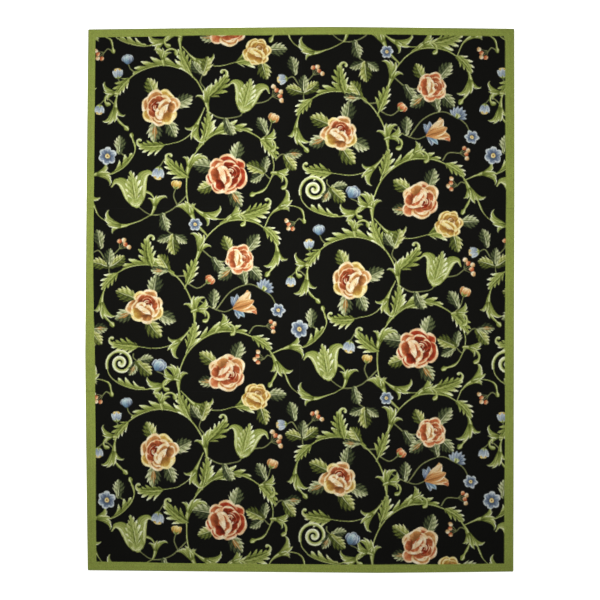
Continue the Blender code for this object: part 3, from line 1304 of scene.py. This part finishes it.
@dataclass(frozen=True)
class PlainBorder:
    """The plain green border, whose width wanders a little, as hand hooking does.

    Each side is given as pairs of a place along it, in hundredths, and the width there in millimetres.
    """

    near: Knots = ((0, 51.5), (10, 50), (18, 46.8), (36, 45.2), (60, 46.8), (74, 48), (82, 46.5), (100, 47.3))
    far: Knots = (
        (0, 45.7), (12, 45.4), (25, 42.7), (40, 44.6), (58, 43.8), (70, 40.4), (76, 40.5), (88, 43.8),
        (100, 43.4),
    )
    left: Knots = ((0, 50), (12, 51), (20, 53), (39, 55), (43, 51), (48, 45.5), (56, 42), (100, 42))
    right: Knots = (
        (0, 52), (16, 52), (25, 49.5), (38, 51.5), (48, 51.5), (57, 49), (70, 47), (80, 51.5), (100, 52),
    )

    def cover(self, plan: RugPlan, across: np.ndarray, along: np.ndarray) -> tuple[np.ndarray, np.ndarray]:
        """Find which loops are hooked in the border.

        Args:
            plan: The rug's plan.
            across: Shares of the way across the rug.
            along: Shares of the way along it.

        Returns:
            The share of border in each loop, and the distance from the nearest side.
        """
        inside, depth = -plan.width, plan.width
        for widths, place, distance in (
            (self.near, across, along * plan.length),
            (self.far, across, (1 - along) * plan.length),
            (self.left, along, across * plan.width),
            (self.right, along, (1 - across) * plan.width),
        ):
            share, width = np.array(widths).T
            inside = np.maximum(inside, np.interp(place, share / 100, width / 1000) - distance)
            depth = np.minimum(depth, distance)
        return np.clip(inside / 0.003 + 0.5, 0, 1), depth


@dataclass
class RugChart:
    """The yarn of every loop of the rug: the repeating field and the plain border round it.

    The shift is where the repeat's own corner lies from the middle of the rug, in centimetres. The
    border's yarns run in rows along the edge. Streak, heather and tint say how uneven the yarns are.
    """

    plan: RugPlan
    border: PlainBorder
    pattern: YarnChart
    seed: int = 7
    shift: tuple[float, float] = (-112.0, -144.5)
    row_width: float = 0.004
    rows: int = 40
    border_tone: float = 0.58
    streak: float = 0.05
    heather: float = 0.035
    tint: float = 0.012

    def yarns(self, across: np.ndarray, along: np.ndarray) -> tuple[np.ndarray, np.ndarray]:
        """Choose the yarn of each loop.

        Args:
            across: Shares of the way across the rug, at the middles of the loops.
            along: Shares of the way along it.

        Returns:
            The display colour of each loop, and the share of motif in it.
        """
        rng = np.random.default_rng(self.seed)
        x = (across - 0.5) * self.plan.width / CM
        y = (along - 0.5) * self.plan.length / CM
        # Hand hooking drifts a few millimetres from the drawn pattern.
        drift_x = 0.35 * np.sin(x / 23 + 1.3 * np.sin(y / 31)) + 0.25 * np.sin(y / 17 + 0.7)
        drift_y = 0.35 * np.sin(y / 26 + 1.1 * np.sin(x / 37) + 2.1) + 0.25 * np.sin(x / 19 + 0.4)
        colour, motif = 0.0, 0.0
        for step_x, step_y in ((-0.1, -0.1), (-0.1, 0.1), (0.1, -0.1), (0.1, 0.1)):
            seen = x + drift_x - self.shift[0] + step_x, y + drift_y - self.shift[1] + step_y
            seen_colour, seen_motif = self.pattern.look_up(*seen)
            colour, motif = colour + seen_colour / 4, motif + seen_motif / 4
        share, depth = self.border.cover(self.plan, across, along)
        row = np.clip(depth / self.row_width, 0, self.rows - 1).astype(int)
        tone = self.border_tone + self.streak * rng.normal(0, 1, self.rows)[row]
        tone = tone + rng.normal(0, self.streak, x.shape)
        colour = colour + (Dye.BORDER.shade(np.clip(tone, 0, 1)) - colour) * share[..., None]
        heather = 1 + rng.normal(0, self.heather, x.shape)[..., None]
        heather = heather + rng.normal(0, self.tint, (*x.shape, 3))
        return np.clip(colour * heather, 0, 1), motif * (1 - share)


def light_from_display(colour: np.ndarray) -> np.ndarray:
    """Return the linear light of display colours."""
    return np.where(colour <= 0.04045, colour / 12.92, ((colour + 0.055) / 1.055) ** 2.4)


def loop_faces(number: np.ndarray) -> np.ndarray:
    """Return the four-cornered faces of a grid of numbered points, turned upwards."""
    corners = [number[:-1, :-1], number[:-1, 1:], number[1:, 1:], number[1:, :-1]]
    return np.stack(corners, axis=-1).reshape(-1, 4)


def placed(data: bpy.types.ID) -> bpy.types.Object:
    """Place a mesh, a light or a camera in the scene.

    Args:
        data: The mesh, light or camera, whose name the object takes.

    Returns:
        The object.
    """
    piece = bpy.data.objects.new(data.name, data)
    bpy.context.scene.collection.objects.link(piece)
    return piece


class Wiring:
    """The node tree of one material, with short calls that add and join its nodes."""

    def __init__(self, name: str) -> None:
        """Make the material with a single shader.

        Args:
            name: Name of the material.
        """
        self.material = bpy.data.materials.new(name)
        self.material.use_nodes = True
        self.tree = self.material.node_tree
        self.tree.nodes.clear()
        output = self.tree.nodes.new("ShaderNodeOutputMaterial")
        self.shader = self.tree.nodes.new("ShaderNodeBsdfPrincipled")
        self.tree.links.new(self.shader.outputs[0], output.inputs["Surface"])
        self.place = self.node("TexCoord").outputs["Object"]

    def feed(self, node: bpy.types.Node, inputs: dict[str, object]) -> bpy.types.Node:
        """Link an output to each input of a node, or set its value.

        Args:
            node: The node to feed.
            inputs: Value or output socket for each input, by name or as i0, i1 and so on.

        Returns:
            The same node.
        """
        for key, value in inputs.items():
            socket = node.inputs[int(key[1:]) if key[1:].isdigit() else key.replace("_", " ")]
            if isinstance(value, bpy.types.NodeSocket):
                self.tree.links.new(value, socket)
            else:
                socket.default_value = value
        return node

    def node(self, kind: str, settings: dict[str, str] | None = None, **inputs: object) -> bpy.types.Node:
        """Add a node.

        Args:
            kind: Node type without its ShaderNode prefix.
            settings: Values for the node's own properties.
            inputs: What feeds its inputs.

        Returns:
            The new node.
        """
        made = self.tree.nodes.new("ShaderNode" + kind)
        for key, value in (settings or {}).items():
            setattr(made, key, value)
        return self.feed(made, inputs)

    def math(self, operation: str, *values: object, kind: str = "Math") -> bpy.types.NodeSocket:
        """Add a Math or VectorMath node and return its result."""
        inputs = {f"i{number}": value for number, value in enumerate(values)}
        return self.node(kind, {"operation": operation}, **inputs).outputs[0]

    def noise(self, scale: float, detail: float = 2.0) -> bpy.types.NodeSocket:
        """Add a noise texture and return its value."""
        return self.node("TexNoise", Vector=self.place, Scale=scale, Detail=detail).outputs[0]

    def remap(
        self, value: object, low: float, high: float, new_low: float, new_high: float
    ) -> bpy.types.NodeSocket:
        """Map a value from one range to another."""
        return self.node("MapRange", i0=value, i1=low, i2=high, i3=new_low, i4=new_high).outputs[0]

    def finish(self, **inputs: object) -> bpy.types.Material:
        """Feed the shader and return the finished material."""
        self.feed(self.shader, inputs)
        return self.material


@dataclass(frozen=True)
class WoolPileFinish:
    """Soft, matt wool yarn hooked up in small round loops, each in its yarn's colour with painted shade at
    its edge.
    """

    roughness: float = 0.92
    sheen: float = 0.015
    specular: float = 0.03
    loop_height: float = 0.0011

    def make(self) -> bpy.types.Material:
        """Return the material of the pile."""
        wires = Wiring("wool_pile_loops")
        yarn = wires.node("Attribute", {"attribute_name": "yarn"}).outputs["Color"]
        loops = wires.node("Attribute", {"attribute_name": "loops"}).outputs["Vector"]
        within = wires.math("FRACTION", loops, kind="VectorMath")
        centred = wires.math("SUBTRACT", within, (0.5, 0.5, 0.0), kind="VectorMath")
        away = wires.node("VectorMath", {"operation": "LENGTH"}, i0=centred).outputs["Value"]
        dome = wires.math("SUBTRACT", 1.0, wires.math("POWER", wires.math("MULTIPLY", away, 1.55), 2.4))
        fuzz, ply = wires.noise(1500.0, 3.0), wires.noise(420.0)
        height = wires.math("ADD", dome, wires.math("MULTIPLY", wires.math("ADD", fuzz, ply), 0.22))
        bump = wires.node("Bump", Height=height, Distance=self.loop_height, Strength=0.8).outputs[0]
        # Darken each loop towards its edge, down to 0.62 of its yarn's colour: painted shade in the dips
        # between loops.
        painted_loop_shade = wires.remap(away, 0.30, 0.62, 1.0, 0.62)
        # The fibre speckle follows the same noise as the fibre bumps and is lighter on their tops: painted
        # shade on the fibres.
        painted_fibre_shade = wires.remap(fuzz, 0.3, 0.7, 0.88, 1.12)
        mottle = wires.remap(wires.noise(9.0, 3.0), 0.3, 0.7, 0.95, 1.05)
        # The yarn's colour is multiplied by the painted shade of the loops and fibres, and by a real mottle
        # of the yarn.
        shade = wires.math("MULTIPLY", wires.math("MULTIPLY", painted_loop_shade, painted_fibre_shade), mottle)
        colour = wires.node("VectorMath", {"operation": "SCALE"}, i0=yarn, Scale=shade).outputs[0]
        rough = wires.remap(fuzz, 0.25, 0.75, self.roughness - 0.06, self.roughness + 0.06)
        return wires.finish(
            Base_Color=colour, Roughness=rough, Normal=bump, Specular_IOR_Level=self.specular,
            Sheen_Weight=self.sheen, Sheen_Roughness=0.6,
        )


@dataclass(frozen=True)
class CanvasFinish:
    """Unbleached cotton canvas in a plain weave, with painted shade between its threads."""

    thread: float = 0.0011
    colour: tuple[float, float, float] = (0.60, 0.50, 0.35)
    # The dark colour shows in the dips between threads as painted shade, and also where the yarn's slub is
    # thin.
    dark: tuple[float, float, float] = (0.40, 0.32, 0.21)

    def make(self) -> bpy.types.Material:
        """Return the material of the canvas."""
        wires = Wiring("cotton_canvas")
        axes = wires.node("SeparateXYZ", Vector=wires.place).outputs
        turns = math.pi / self.thread
        waves = [wires.math("SINE", wires.math("MULTIPLY", axis, turns)) for axis in (axes["X"], axes["Y"])]
        warp, weft = (wires.math("ABSOLUTE", wave) for wave in waves)
        choose = wires.remap(wires.math("MULTIPLY", *waves), -0.2, 0.2, 0.0, 1.0)
        weft = wires.math("MULTIPLY", weft, wires.math("SUBTRACT", 1.0, choose))
        weave = wires.math("ADD", wires.math("MULTIPLY", warp, choose), weft)
        slub, fuzz = wires.noise(60.0, 4.0), wires.noise(1800.0)
        height = wires.math("ADD", weave, wires.math("MULTIPLY", fuzz, 0.3))
        bump = wires.node("Bump", Height=height, Distance=0.0004, Strength=0.7).outputs[0]
        # The canvas darkens towards the dark colour in the dips of the weave, as painted shade, and it also
        # varies with the slub.
        ramp = wires.node("ValToRGB", Fac=wires.math("MULTIPLY", wires.math("ADD", weave, slub), 0.55))
        for stop, colour in zip(ramp.color_ramp.elements, (self.dark, self.colour)):
            stop.color = (*colour, 1)
        rough = wires.remap(fuzz, 0.2, 0.8, 0.84, 0.96)
        return wires.finish(
            Base_Color=ramp.outputs["Color"], Roughness=rough, Normal=bump, Specular_IOR_Level=0.2
        )


@dataclass(frozen=True)
class FloorFinish:
    """A plain, matt, near-white floor."""

    tone: float = 0.80
    glow: float = 0.68

    def make(self) -> bpy.types.Material:
        """Return the material of the floor."""
        wires = Wiring("plain_floor")
        shade = wires.remap(wires.noise(3.0), 0.0, 1.0, self.tone - 0.008, self.tone + 0.008)
        colour = wires.node("CombineColor", Red=shade, Green=shade, Blue=shade).outputs[0]
        return wires.finish(
            Base_Color=colour, Roughness=0.95, Specular_IOR_Level=0.05,
            Emission_Color=(1.0, 1.0, 1.0, 1.0), Emission_Strength=self.glow,
        )


@dataclass
class HookedPile:
    """The wool pile: one small mesh face for each loop, in six sections hooked edge to edge."""

    plan: RugPlan
    chart: RugChart
    finish: WoolPileFinish
    loops: tuple[int, int] = (584, 744)
    sections: tuple[int, int] = (2, 3)
    unevenness: float = 0.00030
    motif_rise: float = 0.00025
    sway: float = 0.00025
    fold: float = 0.0012
    exposure: float = 1.36
    seed: int = 21

    def __post_init__(self) -> None:
        """Give the profile of the rolled edge, as shares of the way out and heights."""
        turns = [math.radians(angle) for angle in (30, 60, 90)]
        flat = self.plan.thickness - self.plan.rim
        self.roll = [(math.sin(turn), flat + self.plan.rim * math.cos(turn)) for turn in turns]
        self.roll += [(1.0, self.plan.foot + self.fold), (0.9, self.plan.foot)]

    def grid(self) -> tuple[np.ndarray, np.ndarray, np.ndarray]:
        """Lay out the corners of the loops, over the top and down the rolled edge.

        Returns:
            The points, then how far across and along the rug each lies, from 0 to 1.
        """
        plan, extra = self.plan, len(self.roll)
        shares, counts, signs = [], [], []
        for loops, size in zip(self.loops, (plan.width, plan.length)):
            line, inset = np.arange(-extra, loops + extra + 1), plan.rim / size
            shares.append(inset + np.clip(line / loops, 0, 1) * (1 - 2 * inset))
            counts.append(np.maximum(np.maximum(-line, line - loops), 0))
            signs.append((line > loops).astype(int) - (line < 0))
        across, along = np.meshgrid(*shares)
        past, out = (np.stack(np.meshgrid(*lines), axis=-1) for lines in (counts, signs))
        ring, radius = past.max(axis=-1), plan.corner
        # Past both sides the points fan out round the corner, and past one they lean straight out.
        slack = math.pi / 4 - math.asin((radius - plan.rim) / radius)
        angle = math.pi / 4 + (past[..., 1] - past[..., 0]) / np.maximum(ring, 1) * slack
        fan = np.stack([np.cos(angle) * radius, np.sin(angle) * radius], axis=-1) - (radius - plan.rim)
        lean = out * np.where((out != 0).all(axis=-1, keepdims=True), fan, plan.rim)
        points = np.dstack([plan.spread(across, along), np.full(ring.shape, plan.thickness)])
        for number, (share, height) in enumerate(self.roll, start=1):
            here = ring == number
            points[here, :2] += lean[here] * share
            points[here, 2] = height
        return points, across, along

    def relief(self, points: np.ndarray, motif: np.ndarray) -> None:
        """Make the pile uneven, as hand-hooked loops are, and stand the motifs a little proud.

        Args:
            points: The corners of the loops, which are moved.
            motif: Share of motif in each loop.
        """
        rng = np.random.default_rng(self.seed)
        extra = len(self.roll)
        top = (slice(extra + 1, -extra - 1),) * 2
        shape = points[top].shape[:2]
        raised = motif[:-1, :-1] + motif[1:, :-1] + motif[:-1, 1:] + motif[1:, 1:]
        raised = raised[extra:-extra, extra:-extra][: shape[0], : shape[1]] / 4
        uneven = rng.uniform(-1, 0.0, shape) * self.unevenness * 2
        points[top][..., 2] += uneven + (raised - 1) * self.motif_rise
        loose = np.ones(points.shape[:2])
        cuts_x, cuts_y = self.cuts
        loose[cuts_y], loose[:, cuts_x] = 0, 0
        for axis in (0, 1):
            points[top][..., axis] += rng.normal(0, self.sway, shape) * loose[top]

    @cached_property
    def cuts(self) -> list[np.ndarray]:
        """Return the grid lines across and along where sections of the pile meet or end."""
        ends = [loops + 2 * len(self.roll) for loops in self.loops]
        return [np.linspace(0, end, count + 1).round().astype(int) for end, count in zip(ends, self.sections)]

    def build(self) -> Iterator[bpy.types.Object]:
        """Build and dress every section of the pile."""
        points, across, along = self.grid()
        middles = [(lines[:-1, :-1] + lines[1:, 1:]) / 2 for lines in (across, along)]
        yarn, motif = self.chart.yarns(*middles)
        self.relief(points, motif)
        albedo = np.clip(light_from_display(yarn) / self.exposure, 0, 0.9)
        material = self.finish.make()
        cuts_x, cuts_y = self.cuts
        for row, (low, high) in enumerate(zip(cuts_y, cuts_y[1:]), start=1):
            for column, (left, right) in enumerate(zip(cuts_x, cuts_x[1:]), start=1):
                mesh = bpy.data.meshes.new(f"pile_section_{row}_{column}")
                grid = self.knit(mesh, points[low : high + 1, left : right + 1])
                self.dress(mesh, grid, albedo[low:high, left:right].reshape(-1, 3), (left, low))
                mesh.materials.append(material)
                yield placed(mesh)

    def knit(self, mesh: bpy.types.Mesh, points: np.ndarray) -> np.ndarray:
        """Fill one section's mesh as a closed solid, whose first faces are its loops.

        Args:
            mesh: The empty mesh.
            points: The corners of its loops.

        Returns:
            The numbers of the mesh's points at the corners of its loops.
        """
        number = np.arange(points[..., 0].size).reshape(points.shape[:2])
        verts = points.reshape(-1, 3).tolist()
        sides = [side.tolist() for side in (number[0], number[:, -1], number[-1, ::-1], number[::-1, 0])]
        foot, feet, walls, cap = self.plan.foot, {}, [], []
        standing = [vert[2] > foot + self.fold / 2 for vert in verts]
        for end in (side[0] for side in sides):
            feet[end] = len(verts) if standing[end] else end
            if standing[end]:
                verts.append([*verts[end][:2], foot])
        for side in sides:
            # A side of the rug runs along the foot already, and a side between sections has a wall.
            if not any(standing[item] for item in side[1:-1]):
                cap += side[:-1]
            else:
                cap.append(feet[side[0]])
                walls.append(list(dict.fromkeys([feet[side[-1]], *side[::-1], feet[side[0]]])))
        mesh.from_pydata(verts, [], loop_faces(number).tolist() + walls + [cap[::-1]])
        return number

    def dress(
        self, mesh: bpy.types.Mesh, number: np.ndarray, albedo: np.ndarray, first: tuple[int, int]
    ) -> None:
        """Write the yarn colours, loop numbers, texture layout and shading of one section.

        Args:
            mesh: The section's mesh, whose first faces are the loops.
            number: The numbers of its points at the corners of the loops.
            albedo: The linear colour of each loop.
            first: Number of the section's first column and row of loops.
        """
        corners = loop_faces(number).ravel()
        grid = np.stack(np.divmod(number.ravel(), number.shape[1])[::-1], axis=1)
        colours = np.ones((len(mesh.loops), 4), np.float32)
        colours[:, :3] = np.quantile(albedo, 0.1, axis=0)
        colours[: len(corners), :3] = np.repeat(albedo, 4, axis=0)
        yarn = mesh.color_attributes.new("yarn", "FLOAT_COLOR", "CORNER")
        yarn.data.foreach_set("color", colours.ravel())
        places = np.zeros((len(mesh.vertices), 3), np.float32)
        places[: len(grid), :2] = grid + first
        mesh.attributes.new("loops", "FLOAT_VECTOR", "POINT").data.foreach_set("vector", places.ravel())
        layout = np.full((len(mesh.loops), 2), 0.001, np.float32)
        layout[: len(corners)] = 0.003 + 0.994 * grid[corners] / grid[-1]
        mesh.uv_layers.new(name="OFBake").data.foreach_set("uv", layout.ravel())
        mesh.polygons.foreach_set("use_smooth", np.arange(len(mesh.polygons)) < len(albedo))
        mesh.update()


@dataclass
class CanvasBack:
    """The canvas that the loops are hooked through, with its edge turned under in a flat hem."""

    plan: RugPlan
    finish: CanvasFinish
    inset: float = 0.003
    thickness: float = 0.0016
    hem: float = 0.032
    hem_turn: float = 0.002
    hem_rise: float = 0.0005
    steps: int = 50

    def build(self) -> bpy.types.Object:
        """Build and dress the canvas as one closed sheet."""
        lines = []
        for size in (self.plan.width, self.plan.length):
            edge, hem, turn = self.inset / size, self.hem / size, self.hem_turn / size
            inner = np.linspace(hem + turn, 1 - hem - turn, self.steps)
            lines.append(np.concatenate(([edge, hem], inner, [1 - hem, 1 - edge])))
        plane = self.plan.spread(*np.meshgrid(*lines))
        under, top = np.zeros(plane.shape[:2]), np.full(plane.shape[:2], self.thickness)
        under[2:-2, 2:-2] = self.hem_rise
        verts = np.concatenate([np.dstack([plane, height]).reshape(-1, 3) for height in (under, top)])
        lift = under.size
        number = np.arange(lift).reshape(under.shape)
        quads = loop_faces(number)
        rim = np.concatenate([number[0, :-1], number[:-1, -1], number[-1, :0:-1], number[:0:-1, 0]])
        after = np.roll(rim, -1)
        walls = np.stack([rim, after, after + lift, rim + lift], axis=1)
        mesh = bpy.data.meshes.new("canvas_back")
        mesh.from_pydata(verts.tolist(), [], np.concatenate([quads[:, ::-1], quads + lift, walls]).tolist())
        mesh.materials.append(self.finish.make())
        return placed(mesh)


@dataclass(frozen=True)
class Studio:
    """A plain pale floor, one soft light above the rug's upper left, and the camera above its middle.

    The camera's view is as wide as the frame at the height of the pile.
    """

    height: float
    frame_width: float = 3.281
    lens: float = 50.0
    sensor: float = 36.0
    floor_size: float = 60.0
    floor_gap: float = 0.0002
    walls: float = 1.1
    ceiling: float = 0.3
    middle: tuple[float, float] = (0.0009, -0.0009)
    lamp_place: tuple[float, float, float] = (-0.23, 0.36, 2.1)
    lamp_size: float = 1.2
    lamp_power: float = 85.0

    def floor(self) -> bpy.types.Object:
        """Lay the floor, a hair below the rug."""
        half = self.floor_size / 2
        mesh = bpy.data.meshes.new("floor")
        corners = [(-half, -half, 0), (half, -half, 0), (half, half, 0), (-half, half, 0)]
        mesh.from_pydata(corners, [], [[0, 1, 2, 3]])
        mesh.materials.append(FloorFinish().make())
        piece = placed(mesh)
        piece.location.z = -self.floor_gap
        return piece

    def lamp(self) -> None:
        """Hang the square soft light, which shines straight down."""
        light = bpy.data.lights.new("key_light", "AREA")
        light.shape = "SQUARE"
        light.size = self.lamp_size
        light.energy = self.lamp_power
        placed(light).location = self.lamp_place

    def world(self) -> None:
        """Surround the floor with white walls under a dimmer ceiling."""
        world = bpy.data.worlds.new("studio")
        world.use_nodes = True
        nodes, links = world.node_tree.nodes, world.node_tree.links
        back = nodes["Background"]
        back.inputs["Color"].default_value = (1.0, 1.0, 1.0, 1)
        parts = nodes.new("ShaderNodeSeparateXYZ")
        links.new(nodes.new("ShaderNodeTexCoord").outputs["Generated"], parts.inputs[0])
        rise = nodes.new("ShaderNodeMapRange")
        links.new(parts.outputs["Z"], rise.inputs[0])
        for number, value in enumerate((0.3, 0.6, self.walls, self.ceiling), start=1):
            rise.inputs[number].default_value = value
        links.new(rise.outputs[0], back.inputs["Strength"])
        bpy.context.scene.world = world

    def camera(self) -> None:
        """Hang the camera straight above the rug."""
        data = bpy.data.cameras.new("camera")
        data.lens = self.lens
        data.sensor_width = self.sensor
        data.clip_end = 100
        camera = placed(data)
        camera.location = (*self.middle, self.height + self.frame_width * self.lens / self.sensor)
        bpy.context.scene.camera = camera

    def build(self) -> bpy.types.Object:
        """Set up the camera, the light and the floor, and return the floor."""
        self.camera()
        self.world()
        self.lamp()
        bpy.context.scene.view_settings.view_transform = "Standard"
        return self.floor()


def main() -> None:
    """Build the rug and the studio round it."""
    plan = RugPlan()
    floor = Studio(plan.thickness).build()
    pattern = YarnChart()
    FieldPattern().hook(pattern)
    log.info("yarn chart: %.0f%% motif", 100 * (pattern.motif > 0.5).mean())
    chart = RugChart(plan, PlainBorder(), pattern)
    canvas = CanvasBack(plan, CanvasFinish()).build()
    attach(canvas, "root")
    log.info("canvas_back: %d faces", len(canvas.data.polygons))
    sections = list(HookedPile(plan, chart, WoolPileFinish()).build())
    for section in sections:
        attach(section, "root")
        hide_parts("hooked_rug")
        log.info("%s: %d faces", section.name, len(section.data.polygons))


if __name__ == "__main__":
    logging.basicConfig(level=logging.INFO, format="%(message)s")
    main()
